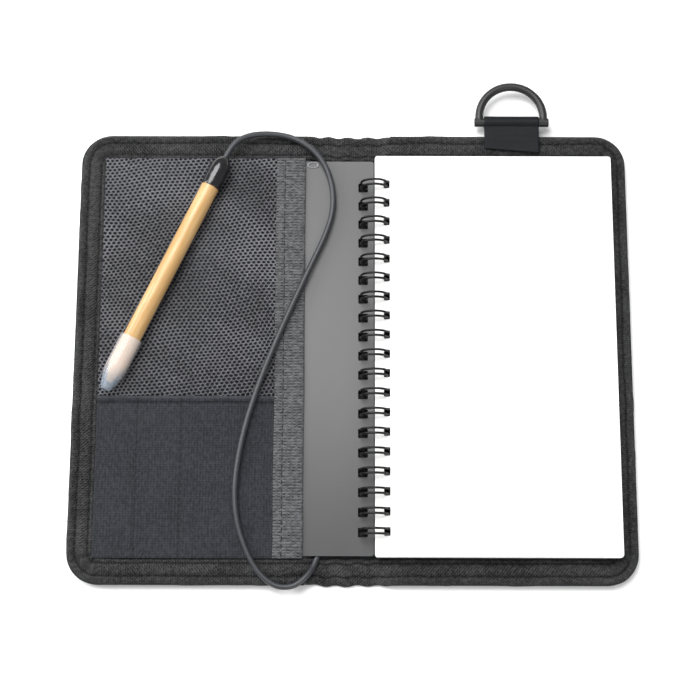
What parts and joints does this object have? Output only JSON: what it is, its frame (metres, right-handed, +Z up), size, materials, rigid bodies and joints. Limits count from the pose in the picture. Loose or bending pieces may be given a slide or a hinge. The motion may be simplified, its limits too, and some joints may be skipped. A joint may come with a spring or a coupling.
{
  "type": "pocket notebook",
  "caption": "Wire-bound notebook in a soft two-panel fabric case, open flat, with a net pocket, an elastic pocket, a D-ring and a pencil on a cord.",
  "frame": {"origin": "on the underside, at the middle of the case's spine", "axes": "+X towards the notebook's pages, +Y towards the D-ring's edge, +Z up, out of the open case"},
  "size_m": [0.243, 0.2259, 0.0153],
  "materials": {
    "outer_cloth": "woven nylon",
    "lining_cloth": "plain woven lining",
    "board": "board, unseen",
    "binding_ribbon": "grosgrain ribbon",
    "net": "knitted mesh",
    "elastic": "ribbed elastic",
    "webbing": "woven webbing",
    "cover_plastic": "fine matt polypropylene",
    "eyelet_plastic": "pale plastic",
    "paper": "uncoated white paper",
    "wire": "black nylon-coated wire",
    "ring_plastic": "moulded acetal",
    "tab_cloth": "smooth woven tape",
    "wood": "lacquered wood",
    "lead": "graphite",
    "sleeve_rubber": "glossy heat-shrunk sleeve",
    "cap_plastic": "clear plastic",
    "cord_rubber": "smooth round cord"
  },
  "bodies": {
    "back_cover": {"back_outer_shell": "outer_cloth", "back_stiffener": "board", "back_lining": "lining_cloth", "back_binding": "binding_ribbon", "back_sleeve": "lining_cloth", "ring_tab": "tab_cloth", "notebook_back_cover": "cover_plastic", "page_block": "paper", "wire_binding": "wire", "spine_shell": "outer_cloth", "spine_lining": "lining_cloth", "spine_binding": "binding_ribbon"},
    "front_cover": {"front_outer_shell": "outer_cloth", "front_stiffener": "board", "front_lining": "lining_cloth", "front_binding": "binding_ribbon", "net_pocket": "net", "elastic_pocket": "elastic", "sleeve_edge_tape": "webbing", "notebook_front_cover": "cover_plastic", "cover_eyelet": "eyelet_plastic", "cord_anchor_tab": "webbing", "tether_cord": "cord_rubber"},
    "turning_sheets": {"top_sheets": "paper"},
    "d_ring": {"d_ring": "ring_plastic"},
    "pencil": {"pencil_barrel": "wood", "pencil_lead": "lead", "cord_sleeve": "sleeve_rubber"},
    "tip_cap": {"tip_cap": "cap_plastic"}
  },
  "joints": [
    {"name": "case_close", "type": "hinge", "parent": "back_cover", "child": "front_cover", "pos_m": [0, 0, 0.0129], "axis": [0, 1, 0], "range_deg": [0, 180], "deforming": ["spine_shell", "spine_lining", "spine_binding", "notebook_front_cover", "cord_anchor_tab", "tether_cord"]},
    {"name": "sheets_turn", "type": "hinge", "parent": "back_cover", "child": "turning_sheets", "pos_m": [0.0093, 0, 0.0084], "axis": [0, -1, 0], "range_deg": [0, 170]},
    {"name": "d_ring_swing", "type": "hinge", "parent": "back_cover", "child": "d_ring", "pos_m": [0.0706, 0.1055, 0.0054], "axis": [1, 0, 0], "range_deg": [-95, 95]},
    {"name": "pencil_slide", "type": "slide", "parent": "front_cover", "child": "pencil", "axis": [-0.4291, -0.9033, 0], "range_m": [0, 0.03], "deforming": ["tether_cord"]},
    {"name": "cap_pull", "type": "slide", "parent": "pencil", "child": "tip_cap", "axis": [-0.4291, -0.9033, 0], "range_m": [0, 0.026]}
  ]
}
